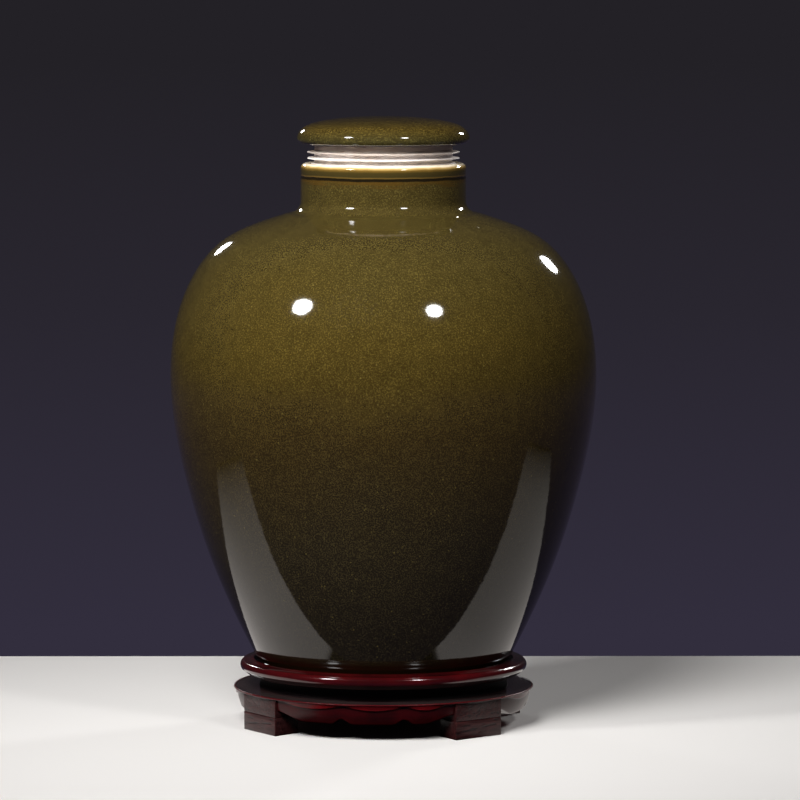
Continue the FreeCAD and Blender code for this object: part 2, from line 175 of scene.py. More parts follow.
def turn_on_lathe(name, outline, segments, closed=True):
    """A piece turned from an outline of (radius, height) points in millimetres."""
    nothing_selected()
    first = (outline[0][0] * MM, 0, outline[0][1] * MM)
    bpy.ops.mesh.primitive_plane_add(size=MM, location=(0, 0, 0))
    piece = bpy.context.object
    piece.name = name
    piece.data.name = name
    bpy.ops.object.mode_set(mode="EDIT")
    bpy.ops.mesh.merge(type="CENTER")
    bpy.ops.transform.translate(value=first)
    path = list(outline) + ([outline[0]] if closed else [])
    for here, there in zip(path, path[1:]):
        step = ((there[0] - here[0]) * MM, 0, (there[1] - here[1]) * MM)
        bpy.ops.mesh.extrude_region_move(TRANSFORM_OT_translate={"value": step})
    bpy.ops.mesh.select_all(action="SELECT")
    bpy.ops.mesh.remove_doubles(threshold=1e-6)
    bpy.ops.mesh.spin(steps=segments, angle=2 * math.pi, center=(0, 0, 0), axis=(0, 0, 1))
    bpy.ops.mesh.select_all(action="SELECT")
    bpy.ops.mesh.remove_doubles(threshold=1e-6)
    bpy.ops.mesh.normals_make_consistent(inside=False)
    bpy.ops.object.mode_set(mode="OBJECT")
    bpy.ops.object.shade_smooth_by_angle(angle=math.radians(35))
    print(name, len(piece.data.polygons), "faces")
    return piece


# %% [markdown]
# ## The jar
# A big thrown jar: a foot ring, a full belly, a low shoulder with faint throwing rings, and a
# short neck with a rolled rim and one fine scored line. The wall is seven millimetres thick, so
# its inside is the outside moved inwards, and it can be seen when the lid is off.

# %% Outline of the jar
WALL = 7.0
NECK_R = 56.2
MOUTH_R = 49.5
NECK_ROOT = RIM - 27.0
SCORE = RIM - 9.0
FLOOR = SEAT + 11.5
BELLY = [(85.0, 2.0), (97.8, 27.1), (116.2, 68.4), (132.4, 118.0), (142.6, 165.0), (BELLY_R, 198.0),
         (142.0, 232.0), (130.0, 265.5), (109.6, 290.0), (85.0, 302.2), (65.0, 308.8)]
RING_PITCH = 6.5
RING_DEPTH = 0.07


def throwing_rings(radius, height):
    """How far the potter's fingers left the shoulder from the smooth line."""
    share = min(max((height - RIM + 75) / 25, 0), 1) * min(max((RIM - 36 - height) / 6, 0), 1)
    return RING_DEPTH * share * math.sin(2 * math.pi * radius / RING_PITCH)


belly = smooth_line([(r, SEAT + z) for r, z in BELLY], 120)
belly = [(min(r, BELLY_R), z + throwing_rings(r, z)) for r, z in belly]
cavity = []
for before, here, after in zip(belly, belly[1:], belly[2:]):
    along = np.array(after) - np.array(before)
    along = along / np.linalg.norm(along)
    inner = (here[0] - along[1] * WALL, here[1] + along[0] * WALL)
    if FLOOR + 12 < inner[1] < NECK_ROOT - 13:
        cavity.append(inner)
cavity = cavity[::-2]
rim_middle = (NECK_R + MOUTH_R) / 2
slope = (cavity[-2][0] - cavity[-1][0]) / (cavity[-2][1] - cavity[-1][1])
floor_corner = (cavity[-1][0] - (cavity[-1][1] - FLOOR) * slope, FLOOR)
jar_outline = [(0, SEAT + 2.5), (60, SEAT + 2.5)]
jar_outline += corner((60, SEAT + 2.5), (72, SEAT + 2.5), (74, SEAT), 0.8, 3)
jar_outline += corner((72, SEAT + 2.5), (74, SEAT), (83, SEAT), 0.5, 3)
jar_outline += corner((74, SEAT), (83, SEAT), (85, SEAT + 2), 0.6, 3)
jar_outline += belly
jar_outline += arc(belly[-1], (NECK_R + 2.4, belly[-1][1] + 2.6), (NECK_R, NECK_ROOT), 10)
jar_outline += [(NECK_R, NECK_ROOT + 3 * k) for k in range(1, 6)]
jar_outline += [(NECK_R, SCORE - 1.1), (NECK_R - 0.05, SCORE - 0.7), (NECK_R - 0.14, SCORE - 0.2)]
jar_outline += [(NECK_R - 0.14, SCORE + 0.1), (NECK_R - 0.05, SCORE + 0.5), (NECK_R, SCORE + 0.8)]
jar_outline += corner((NECK_R, SCORE), (NECK_R, RIM), (rim_middle, RIM), 3.6, 10)
jar_outline += corner((rim_middle, RIM), (MOUTH_R, RIM), (MOUTH_R, SCORE), 2.5, 8)
jar_outline += [(MOUTH_R, RIM - 12), (MOUTH_R, NECK_ROOT - 4)]
jar_outline += arc(
    (MOUTH_R, NECK_ROOT - 4), (MOUTH_R + 1.6, NECK_ROOT - 8.5), (MOUTH_R + 5.5, NECK_ROOT - 12), 6)
jar_outline += cavity
floor_reach = math.dist(cavity[-1], floor_corner)
jar_outline += corner(cavity[-1], floor_corner, (0, FLOOR), floor_reach, 8)[1:]
jar_outline += [(40, FLOOR), (0, FLOOR)]
print("jar outline", len(jar_outline), "points, widest", round(max(r for r, z in jar_outline), 1))

# %% Turn the jar
jar = turn_on_lathe("jar_glazed", jar_outline, 256, closed=False)

# %% [markdown]
# ## The lid
# A thick domed disc with a hollow plug below it. Its edge is a full round that rolls under to a
# flat rest.

# %% Turn the lid
LID_HEIGHT = LID_TOP - LID_UNDER
PLUG_R = 44.5
PLUG_INNER = 40.0
PLUG_LOW = LID_UNDER - 24.0
CEILING = LID_TOP - 9.0
DOME = [(0, LID_HEIGHT), (16.0, 17.85), (31.6, 16.6), (46.0, 14.1), (52.5, 11.8), (56.3, 8.9),
        (58.3, 5.6), (LID_R, 3.0)]

dome = smooth_line([(-DOME[2][0], DOME[2][1]), (-16.0, 17.85)] + DOME, 110)
dome = [(min(r, LID_R), LID_UNDER + min(z, LID_HEIGHT)) for r, z in dome if r > 0.3]
lid_outline = [(0, LID_TOP)] + dome
lid_outline += arc(dome[-1], (LID_R - 1.1, LID_UNDER + 0.9), (LID_R - 3.4, LID_UNDER), 8)
lid_outline += corner((LID_R - 3.4, LID_UNDER), (PLUG_R, LID_UNDER), (PLUG_R, PLUG_LOW), 0.5, 3)
lid_outline += [(PLUG_R, LID_UNDER - 10), (PLUG_R, PLUG_LOW + 4)]
lid_outline += arc((PLUG_R, PLUG_LOW + 4), (PLUG_R + 1.7, PLUG_LOW + 2), (PLUG_R, PLUG_LOW), 10)
lid_outline += corner((PLUG_R, PLUG_LOW), (PLUG_INNER, PLUG_LOW), (PLUG_INNER, CEILING), 1.2, 4)
lid_outline += [(PLUG_INNER, CEILING - 5)]
lid_outline += arc(
    (PLUG_INNER, CEILING - 5), (PLUG_INNER - 1.5, CEILING - 1.5), (PLUG_INNER - 5, CEILING), 6)
lid_outline += [(20, CEILING), (0, CEILING)]
lid = turn_on_lathe("lid_glazed", lid_outline, 192, closed=False)

# %% [markdown]
# ## The seal
# A sleeve of white rubber with four thin fins. Two fins stand free above the rim, two are folded
# up a little inside the mouth. The fins of the real seal are never quite even, so after turning,
# a slow wave is pressed into the points near their tips.

# %% Turn the seal
SLEEVE_R = PLUG_R + 2.5
FIN_PITCH = 4.1
FIN_FREE_R = 51.8
FIN_HELD_R = 49.2
SEAL_LOW = low_z("lid_seal")

seal_outline = [(PLUG_R, SEAL_LOW), (SLEEVE_R, SEAL_LOW)]
for count in (3, 2, 1, 0):
    fin_z = LID_UNDER - 6.0 - count * FIN_PITCH
    held = fin_z < RIM
    tip_r = FIN_HELD_R if held else FIN_FREE_R
    tip_z = fin_z + 0.5 * held
    root_low, root_high = (SLEEVE_R, fin_z - 1.1), (SLEEVE_R, fin_z + 1.1)
    tip_low, tip_high = (tip_r - 0.35, tip_z - 0.35), (tip_r - 0.35, tip_z + 0.35)
    seal_outline += corner((SLEEVE_R, fin_z - 2), root_low, tip_low, 0.4, 3)
    seal_outline += [tip_low] + arc(tip_low, (tip_r, tip_z), tip_high, 6)
    seal_outline += corner(tip_high, root_high, (SLEEVE_R, fin_z + 2), 0.4, 3)
flange_z = LID_UNDER - 1.0
seal_outline += [(SLEEVE_R, flange_z), (49.7, flange_z)]
seal_outline += arc((49.7, flange_z), (50.0, flange_z + 0.35), (49.7, flange_z + 0.8), 4)
seal_outline += [(49.5, LID_UNDER), (PLUG_R, LID_UNDER)]
seal = turn_on_lathe("seal_rubber", seal_outline, 160)

# %% Press the slow wave into the fins
for vertex in seal.data.vertices:
    radius = math.hypot(vertex.co.x, vertex.co.y) / MM
    height = vertex.co.z / MM
    if radius > SLEEVE_R + 1 and height < flange_z - 0.5:
        reach = (radius - SLEEVE_R) / (FIN_FREE_R - SLEEVE_R)
        turn = math.atan2(vertex.co.y, vertex.co.x)
        wave = math.sin(2 * turn + height) + 0.6 * math.sin(5 * turn + 2 * height)
        vertex.co.z += 0.14 * wave * reach * MM
print("seal waved,", len(seal.data.vertices), "points")

# %% [markdown]
# ## The stand's rings
# The top ring has a slanted underside, a full round edge and a lip that keeps the jar in place.
# Between edge and lip its top is hollowed a little. The waist is a plain dark ring set back under
# it. Both are lathe work.

# %% Turn the top ring and the waist
LIP_R = 88.5
LIP_TOP = top_z("top_ring")
PANEL_R = half_width("seat_panel")
PANEL_LOW = low_z("seat_panel")

ring_outline = corner((70, PANEL_LOW), (70, RING_UNDER), (93, RING_UNDER), 0.5, 3)
ring_outline += corner((70, RING_UNDER), (93, RING_UNDER), (RING_R - 1.2, RING_UNDER + 2.8), 0.7, 4)
bevel_end = (RING_R - 1.2, RING_UNDER + 2.8)
edge_end = (RING_R - 2.0, LIP_TOP - 1.45)
ring_outline += [bevel_end] + arc(bevel_end, (RING_R, RING_UNDER + 5.7), edge_end, 12)
ring_outline += arc(edge_end, (93.3, LIP_TOP - 1.15), (90.9, LIP_TOP - 0.45), 8)
ring_outline += corner((90.9, LIP_TOP - 0.45), (LIP_R, LIP_TOP), (LIP_R, SEAT), 0.9, 6)
ring_outline += corner((LIP_R, LIP_TOP), (LIP_R, SEAT), (PANEL_R, SEAT), 0.4, 3)
ring_outline += corner((LIP_R, SEAT), (PANEL_R, SEAT), (PANEL_R, PANEL_LOW), 0.2, 2)
ring_outline += [(PANEL_R, PANEL_LOW), (70, PANEL_LOW)]
top_ring = turn_on_lathe("stand_top_ring", ring_outline, 256)

WAIST_R = 85.0
BORE_R = 74.0
waist_outline = [(BORE_R, SHELF), (WAIST_R, SHELF)]
waist_middle = (WAIST_R - 0.8, (SHELF + RING_UNDER) / 2)
waist_outline += arc((WAIST_R, SHELF), waist_middle, (WAIST_R, RING_UNDER), 10)
waist_outline += [(BORE_R, RING_UNDER)]
waist = turn_on_lathe("stand_waist", waist_outline, 192)

# %% [markdown]
# ## The carved apron
# The lowest ring is turned first: a flat shelf, a round bead and a fascia that leans in towards
# its lower edge. Then the carver cuts the edge into lobes between the feet and leaves a row of
# shallow crescents under the bead. Both cuts depend only on the angle round the stand. So the
# blank is spun, and each point of it is then moved to where the outline for its own angle says.

# %% Where the carving goes
FOOT_ANGLES = {"foot_front_left": -57.5, "foot_front_right": 40.0,
               "foot_back_right": 122.5, "foot_back_left": 220.0}
FOOT_HALF = 11.5
HEM = 11.2
BEAD_R = 102.4
BEAD_LOW = SHELF - 0.9
FASCIA_R = 99.8
CRESCENT_R = 101.1
CRESCENT_DROP = 3.2
NOTCH_RISE = 5.6
NOTCH_SWEEP = 13.0
CUSP_RISE = 3.8
CUSP_HALF = 4.6
SPANS = [
    (-57.5, 40.0, [-16.7, 8.2], [-42.5, -15.8, 8.4, 24.5]),
    (40.0, 122.5, [80.5], [56.5, 80.5, 106.0]),
]


def ease(share):
    share = min(max(share, 0.0), 1.0)
    return share * share * (3 - 2 * share)


def span_at(angle):
    """The carved span that an angle lies in, and the angle counted within the first half turn."""
    for turn in (-360, -180, 0, 180):
        for span in SPANS:
            if span[0] <= angle + turn < span[1]:
                return span, angle + turn
    raise ValueError(angle)


def hem_height(angle):
    (start, end, cusps, stops), angle = span_at(angle)
    inset = min(angle - start, end - angle) - FOOT_HALF
    rise = NOTCH_RISE * (1 - ease(inset / NOTCH_SWEEP))
    for cusp in cusps:
        rise += CUSP_RISE * ease(1 - abs(angle - cusp) / CUSP_HALF)
    return HEM + rise


def crescent_height(angle):
    (start, end, cusps, stops), angle = span_at(angle)
    for left, right in zip(stops, stops[1:]):
        if left <= angle < right:
            share = (angle - left) / (right - left)
            return BEAD_LOW - CRESCENT_DROP * 4 * share * (1 - share)
    return BEAD_LOW


print("edge in front, at a cusp, beside a foot", [round(hem_height(a), 1) for a in (0, 8.2, 27)])

# %% [markdown]
# The fascia's lean is one round through three points, so its radius at a height is a short
# formula. The outline always has the same number of points, whatever the angle: where there is
# no crescent its points lie close together under the bead.

# %% The apron's outline at an angle
FASCIA_TOP = BEAD_LOW - 0.8
fascia_round = [(FASCIA_R, FASCIA_TOP), (FASCIA_R - 1.0, HEM + 4.5), (FASCIA_R - 4.0, HEM - 1.7)]
(r1, z1), (r2, z2), (r3, z3) = fascia_round
det = 2 * (r1 * (z2 - z3) + r2 * (z3 - z1) + r3 * (z1 - z2))
s1, s2, s3 = r1 ** 2 + z1 ** 2, r2 ** 2 + z2 ** 2, r3 ** 2 + z3 ** 2
lean_r = (s1 * (z2 - z3) + s2 * (z3 - z1) + s3 * (z1 - z2)) / det
lean_z = (s1 * (r3 - r2) + s2 * (r1 - r3) + s3 * (r2 - r1)) / det
lean_radius = math.hypot(r1 - lean_r, z1 - lean_z)
APRON_INNER = 86.0
APRON_UNDER = SHELF - 8.0


def fascia_radius(height):
    return lean_r + math.sqrt(lean_radius ** 2 - (height - lean_z) ** 2)


def apron_outline(angle):
    hem = hem_height(angle)
    low = crescent_height(angle)
    outline = [(BORE_R, SHELF), (92.0, SHELF), (BEAD_R - 1.2, SHELF)]
    outline += arc((BEAD_R - 1.2, SHELF), (BEAD_R, SHELF - 0.45), (BEAD_R - 0.6, BEAD_LOW), 9)
    face = min(BEAD_LOW - 0.02, low + 0.45)
    outline += [(CRESCENT_R, face), (CRESCENT_R - 0.06, face - 0.2)]
    outline += [(CRESCENT_R - 0.22, low + 0.02)]
    outline += [(CRESCENT_R - 0.6, low - 0.12), (fascia_radius(low - 0.5) + 0.1, low - 0.32)]
    top = low - 0.55
    for k in range(10):
        z = top + (hem + 0.7 - top) * k / 9
        outline.append((fascia_radius(min(z, FASCIA_TOP)), z))
    edge = fascia_radius(hem)
    outline += [(edge - 0.12, hem + 0.3), (edge - 0.4, hem + 0.08), (edge - 0.9, hem)]
    outline += [(APRON_INNER + 0.5, hem), (APRON_INNER, hem + 0.5)]
    outline += [(APRON_INNER, APRON_UNDER), (BORE_R, APRON_UNDER)]
    return outline


blank = apron_outline(0)
print("apron outline", len(blank), "points")

# %% Spin the blank, then carve it
APRON_SEGMENTS = 900
apron = turn_on_lathe("stand_apron", blank, APRON_SEGMENTS)
blank_points = np.array(blank)
angles = {}
for vertex in apron.data.vertices:
    radius = math.hypot(vertex.co.x, vertex.co.y)
    turn = math.atan2(vertex.co.x, -vertex.co.y)
    station = round(math.degrees(turn) / 360 * APRON_SEGMENTS)
    if station not in angles:
        angles[station] = apron_outline(station * 360 / APRON_SEGMENTS)
    miss = np.abs(blank_points - (radius / MM, vertex.co.z / MM)).sum(axis=1)
    r, z = angles[station][int(miss.argmin())]
    turn = math.radians(station * 360 / APRON_SEGMENTS)
    vertex.co = (r * MM * math.sin(turn), -r * MM * math.cos(turn), z * MM)
print("carved", len(angles), "stations")

# %% [markdown]
# ## Legs and feet
# Under the apron stand four short legs that belong to the ring, and a foot is glued under each.
# Leg and foot share one plan: a block with a flat front and radial sides. A cube is set to its
# size, its back is drawn in to the taper, and every edge gets a small bevel, which is what
# catches the light along the joint.

# %% One block at the front
FOOT_FRONT = 99.5
FOOT_DEPTH = 21.0
TAPER = (FOOT_FRONT - FOOT_DEPTH) / FOOT_FRONT


def bench_block(name, low, high, bevel):
    """A foot-shaped block that stands at the front of the stand, between two heights."""
    nothing_selected()
    width = 2 * FOOT_FRONT * math.tan(math.radians(FOOT_HALF))
    middle = (0, -(FOOT_FRONT - FOOT_DEPTH / 2) * MM, (low + high) / 2 * MM)
    bpy.ops.mesh.primitive_cube_add(size=MM, location=middle)
    block = bpy.context.object
    block.name = name
    block.data.name = name
    bpy.ops.object.mode_set(mode="EDIT")
    bpy.ops.transform.resize(value=(width, FOOT_DEPTH, high - low))
    bpy.ops.mesh.select_all(action="DESELECT")
    bpy.ops.object.mode_set(mode="OBJECT")
    for vertex in block.data.vertices:
        vertex.select = vertex.co.y > 0
    for face in block.data.polygons:
        face.select = face.center.y > FOOT_DEPTH * MM * 0.4
    bpy.ops.object.mode_set(mode="EDIT")
    bpy.ops.transform.resize(value=(TAPER, 1, 1))
    bpy.ops.mesh.select_all(action="SELECT")
    bpy.ops.mesh.bevel(offset=bevel * MM, segments=3, affect="EDGES")
    bpy.ops.mesh.subdivide(number_cuts=2)
    bpy.ops.object.mode_set(mode="OBJECT")
    bpy.ops.object.transform_apply(location=True, rotation=True, scale=True)
    bpy.ops.object.shade_smooth_by_angle(angle=math.radians(35))
    return block


def keep_bench_place(block):
    """Store where each point lay before the block is turned into place: grain follows it."""
    places = np.zeros(len(block.data.vertices) * 3)
    block.data.vertices.foreach_get("co", places)
    attribute = block.data.attributes.new("bench", "FLOAT_VECTOR", "POINT")
    attribute.data.foreach_set("vector", places)


def turned_copy(block, name, angle):
    """A copy with its own mesh, turned about the stand's axis."""
    nothing_selected()
    block.select_set(True)
    bpy.context.view_layer.objects.active = block
    bpy.ops.object.duplicate()
    copy = bpy.context.object
    copy.name = name
    copy.data.name = name
    copy.rotation_euler = (0, 0, math.radians(angle))
    bpy.ops.object.transform_apply(location=True, rotation=True, scale=True)
    return copy


# %% Four feet
first_foot = bench_block("bench_foot", 0.0, FOOT_TOP, 0.55)
keep_bench_place(first_foot)
feet = {}
for node, angle in FOOT_ANGLES.items():
    feet[node] = turned_copy(first_foot, node + "_block", angle)
bpy.data.objects.remove(first_foot)
print("feet", sorted(feet))

# %% [markdown]
# The legs are part of the ring, so they are joined to it for good with a Boolean union. Their
# lower edge has the same bevel as the feet, and the two bevels together make the fine groove of
# the glue joint.

# %% Four legs, joined to the apron
first_leg = bench_block("bench_leg", FOOT_TOP, BEAD_LOW - 0.1, 0.5)
legs = [turned_copy(first_leg, "leg", angle) for angle in FOOT_ANGLES.values()]
bpy.data.objects.remove(first_leg)
for leg in legs:
    nothing_selected()
    apron.select_set(True)
    bpy.context.view_layer.objects.active = apron
    bpy.ops.object.modifier_add(type="BOOLEAN")
    modifier = apron.modifiers[-1]
    modifier.operation = "UNION"
    modifier.solver = "EXACT"
    modifier.object = leg
    bpy.ops.object.modifier_apply(modifier=modifier.name)
    bpy.data.objects.remove(leg)
bpy.ops.object.shade_smooth_by_angle(angle=math.radians(35))
print("apron with legs", len(apron.data.polygons), "faces")

# %% [markdown]
# ## How a material is put together
# Colours are written as the sRGB hex values that a colour picker shows, and one function makes
# them linear. Another adds a shader node with its settings, its values and its links. A colour
# ramp's stops are one of its settings. Patterns are measured on the object itself in metres, so
# a scale is simply one over the size of a grain.

# %% Colour and node helpers
def colour(code):
    parts = [int(code[k:k + 2], 16) / 255 for k in (1, 3, 5)]
    linear = [c / 12.92 if c <= 0.04045 else ((c + 0.055) / 1.055) ** 2.4 for c in parts]
    return tuple(linear) + (1.0,)


def add_node(tree, kind, inputs=None, stops=None, **settings):
    """Adds a node. An input is a value, or another node's output to link from."""
    made = tree.nodes.new(kind)
    for name, value in settings.items():
        setattr(made, name, value)
    for name, value in (inputs or {}).items():
        if isinstance(value, bpy.types.NodeSocket):
            tree.links.new(value, made.inputs[name])
        else:
            made.inputs[name].default_value = value
    if stops:
        ramp = made.color_ramp
        while len(ramp.elements) < len(stops):
            ramp.elements.new(1.0)
        for element, (place, code) in zip(ramp.elements, stops):
            element.position = place
            element.color = colour(code)
    return made


def new_material(name):
    """A material with a shader ready for its values, and its node tree."""
    material = bpy.data.materials.new(name)
    material.use_nodes = True
    tree = material.node_tree
    return material, tree, tree.nodes["Principled BSDF"]


def per_mm(size):
    """The texture scale, in features per metre, that gives features of a size in millimetres."""
    return 1000.0 / size


def object_place(tree):
    return add_node(tree, "ShaderNodeTexCoord").outputs["Object"]


def axis_of(tree, place, axis):
    return add_node(tree, "ShaderNodeSeparateXYZ", {0: place}).outputs[axis]


def noise(tree, place, size_mm, detail, roughness=0.5):
    return add_node(tree, "ShaderNodeTexNoise", {
        "Vector": place, "Scale": per_mm(size_mm), "Detail": detail,
        "Roughness": roughness}).outputs["Fac"]


def remap(tree, value, start=0.0, end=1.0, low=0.0, high=1.0):
    """A value's share of the way from start to end, spread between low and high."""
    return add_node(tree, "ShaderNodeMapRange", {
        "Value": value, "From Min": start, "From Max": end,
        "To Min": low, "To Max": high}).outputs[0]


def mix(tree, share, under, over):
    made = add_node(tree, "ShaderNodeMix", {0: share, 6: under, 7: over}, data_type="RGBA")
    return made.outputs[2]


def calc(tree, operation, *values):
    return add_node(tree, "ShaderNodeMath", dict(enumerate(values)), operation=operation).outputs[0]


def ramp_colour(tree, share, stops):
    return add_node(tree, "ShaderNodeValToRGB", {"Fac": share}, stops=stops).outputs["Color"]


def emboss(tree, shader, relief, strength, depth):
    """A bump in the surface's normal, from a relief in noise units."""
    made = add_node(tree, "ShaderNodeBump", {
        "Strength": strength, "Distance": depth, "Height": relief})
    tree.links.new(made.outputs["Normal"], shader.inputs["Normal"])


print("olive in linear light", [round(v, 3) for v in colour("#645225")[:3]])

# %% [markdown]
# ## The iron glaze
# The jar wears a thick glossy iron glaze of the tea-dust kind: an olive-brown glass full of tiny
# yellow-green crystals. Its colour is set brighter towards the shoulder and darker, a brown-black,
# towards the foot. Where it runs thin over the rim it breaks to amber, and the rim itself is
# almost cream. A glaze is a glass, so its IOR is 1.52 and it is nearly mirror smooth, with only
# the slow swell of a melted surface.
#
# Real crystals are much finer than a millimetre. Here they are drawn at about one, because finer
# ones would vanish at this viewing distance. Everything is worked out from the height and noise
# in object space.

# %% Iron glaze for jar and lid
def iron_glaze(name, base_stops, low, high, crystal_mm, crystal_share):
    """The glaze, with its ground colour given by stops between two heights."""
    material, tree, shader = new_material(name)
    place = object_place(tree)
    height = axis_of(tree, place, "Z")
    cloud = noise(tree, place, 70, 3.0)
    wander = 0.25 * (high - low) * MM
    drift = calc(tree, "MULTIPLY_ADD", cloud, wander, height)
    ground_at = remap(tree, drift, low * MM + wander / 2, high * MM + wander / 2)
    ground = ramp_colour(tree, ground_at, base_stops)
    mottle = noise(tree, place, 9, 4.0, 0.6)
    mottle_at = remap(tree, mottle, 0.3, 0.7, low=0.86, high=1.14)
    mottled = add_node(tree, "ShaderNodeVectorMath", {
        0: ground, 1: mottle_at}, operation="MULTIPLY").outputs[0]
    crystal = noise(tree, place, crystal_mm, 2.0, 0.75)
    grain = remap(tree, crystal, 0.47, 0.68, high=crystal_share)
    lit = add_node(tree, "ShaderNodeVectorMath", {
        0: mottled, 1: (2.3, 2.4, 2.2), 2: (0.016, 0.0135, 0.004)},
        operation="MULTIPLY_ADD").outputs[0]
    speckled = mix(tree, grain, mottled, lit)
    spark = add_node(tree, "ShaderNodeTexVoronoi", {"Vector": place, "Scale": per_mm(4)})
    spark_near = remap(tree, spark.outputs["Distance"], 0.17, 0.08)
    spark_rare = add_node(tree, "ShaderNodeSeparateColor", {0: spark.outputs["Color"]}).outputs[1]
    spark_pick = remap(tree, spark_rare, 0.55, 1.0, high=0.55)
    spark_share = calc(tree, "MULTIPLY", spark_near, spark_pick)
    dotted = mix(tree, spark_share, speckled, colour("#6e6233"))
    swell = noise(tree, place, 14, 2.0)
    skin = noise(tree, place, 2.2, 1.0)
    relief = calc(tree, "MULTIPLY_ADD", skin, 0.12, swell)
    emboss(tree, shader, relief, 0.35, 0.0002)
    shader.inputs["Roughness"].default_value = 0.06
    shader.inputs["IOR"].default_value = 1.52
    tree.links.new(dotted, shader.inputs["Base Color"])
    return material, tree, shader, place, height, dotted


JAR_GROUND = [(0.0, "#18130c"), (0.25, "#201a0f"), (0.55, "#271d0a"), (0.78, "#362b0f"),
              (1.0, "#352c13")]
jar_glaze, tree, shader, place, height, ground = iron_glaze(
    "iron_glaze_olive_brown", JAR_GROUND, SEAT + 20, RIM - 60, 0.95, 0.8)

# the neck: brown streaks run round it under the rim
band = add_node(tree, "ShaderNodeMapping", {"Vector": place, "Scale": (1.0, 1.0, 14.0)}).outputs[0]
streak = noise(tree, band, 22, 3.0)
neck_at = remap(tree, height, (NECK_ROOT + 4) * MM, (SCORE - 2) * MM)
streaked = calc(tree, "MULTIPLY", streak, neck_at)
streak_share = remap(tree, streaked, 0.34, 0.54, high=0.7)
on_neck = mix(tree, streak_share, ground, colour("#4a3410"))

# the rim: a dark band in the scored groove, painted shade, and a pale line just above it, a painted
# highlight; then amber where the glaze breaks, then cream
rim_wobble = noise(tree, place, 12, 2.0)
rim_height = calc(tree, "MULTIPLY_ADD", rim_wobble, 0.0012, height)
rim_at = remap(tree, rim_height, (SCORE - 1.5) * MM, (RIM + 0.6) * MM)
rim_glaze_and_groove_light = ramp_colour(tree, rim_at, [
    (0.0, "#2a2210"), (0.06, "#1a1409"), (0.21, "#1a1409"), (0.25, "#58451e"), (0.29, "#58451e"),
    (0.33, "#352d14"), (0.58, "#3c3216"), (0.72, "#6b5222"), (0.84, "#b99a5c"), (0.93, "#efe0c4")])
rim_share = remap(tree, rim_height, (SCORE - 1.5) * MM, (SCORE - 0.6) * MM)
with_rim = mix(tree, rim_share, on_neck, rim_glaze_and_groove_light)

# the foot: the glaze ends in an amber-brown roll, and below it the clay is bare
foot_at = remap(tree, height, SEAT * MM, (SEAT + 14) * MM)
foot_colour = ramp_colour(tree, foot_at, [
    (0.0, "#64503a"), (0.10, "#321e0c"), (0.2, "#160b03"), (0.75, "#160b04")])
foot_share = remap(tree, height, (SEAT + 13) * MM, (SEAT + 9) * MM)
with_foot = mix(tree, foot_share, with_rim, foot_colour)

# a very few pale specks of ash
ash = add_node(tree, "ShaderNodeTexVoronoi", {"Vector": place, "Scale": per_mm(16)})
ash_near = remap(tree, ash.outputs["Distance"], 0.055, 0.03)
ash_rare = add_node(tree, "ShaderNodeSeparateColor", {0: ash.outputs["Color"]}).outputs[0]
ash_pick = calc(tree, "GREATER_THAN", ash_rare, 0.965)
ash_share = calc(tree, "MULTIPLY", ash_near, ash_pick)
with_ash = mix(tree, ash_share, with_foot, colour("#b9b3a4"))
tree.links.new(with_ash, shader.inputs["Base Color"])

LID_GROUND = [(0.0, "#25220c"), (0.35, "#302a14"), (0.7, "#372b0e"), (1.0, "#241c09")]
lid_glaze = iron_glaze("iron_glaze_lid", LID_GROUND, LID_UNDER - 4, LID_TOP, 1.15, 1.0)[0]
print("glazes", jar_glaze.name, lid_glaze.name, len(jar_glaze.node_tree.nodes), "nodes")

# %% [markdown]
# ## Cream glaze and bare clay
# Inside, such a jar has a thin cream glaze, so that what it stores stays clean. It is a softer,
# matter glass with soft changes of tone. The plug of the lid and the foot ring are
# bare fired clay: matt, warm grey and a little sandy.

# %% Cream glaze, bare stoneware
cream_glaze, tree, shader = new_material("cream_glaze_inside")
place = object_place(tree)
tone = noise(tree, place, 25, 4.0)
cream = ramp_colour(tree, tone, [
    (0.3, "#cdb891"), (0.5, "#e6d8bd"), (0.7, "#efe6d2")])
swell = noise(tree, place, 5, 2.0)
emboss(tree, shader, swell, 0.3, 0.0002)
tree.links.new(cream, shader.inputs["Base Color"])
shader.inputs["Roughness"].default_value = 0.18
shader.inputs["IOR"].default_value = 1.5

bare_clay, tree, shader = new_material("bare_stoneware")
place = object_place(tree)
sand = noise(tree, place, 0.9, 3.0)
clay = ramp_colour(tree, sand, [
    (0.3, "#77604a"), (0.5, "#977d63"), (0.72, "#b39a7f")])
emboss(tree, shader, sand, 0.5, 0.0002)
tree.links.new(clay, shader.inputs["Base Color"])
shader.inputs["Roughness"].default_value = 0.85
shader.inputs["IOR"].default_value = 1.5
print("inside and foot:", cream_glaze.name, bare_clay.name)

# %% [markdown]
# ## Seal rubber
# White moulded silicone rubber. It is bright but never pure white, has a satin skin, and picks up
# a trace of dust between its fins. Close under the lid a warm brown-grey is painted in: painted
# shade for the lid's shadow, and the lid's brown underside as a painted reflection. The moulding
# leaves a faint skin texture of about 0.8 mm.

# %% White rubber
seal_rubber, tree, shader = new_material("white_silicone_rubber")
place = object_place(tree)
dust = noise(tree, place, 11, 5.0)
white = ramp_colour(tree, dust, [
    (0.3, "#ddd3cb"), (0.5, "#ebe4df"), (0.7, "#f3eeeb")])
height = axis_of(tree, place, "Z")
# painted shade and painted reflection: a warm brown-grey close under the lid
painted_shade_under_lid = remap(tree, height, (LID_UNDER - 8.5) * MM, (LID_UNDER - 5.5) * MM, high=0.45)
white = mix(tree, painted_shade_under_lid, white, colour("#b49a7e"))
skin = noise(tree, place, 0.8, 2.0)
emboss(tree, shader, skin, 0.25, 0.0001)
shine = remap(tree, dust, low=0.3, high=0.5)
tree.links.new(white, shader.inputs["Base Color"])
tree.links.new(shine, shader.inputs["Roughness"])
shader.inputs["IOR"].default_value = 1.41
print("seal:", seal_rubber.name)
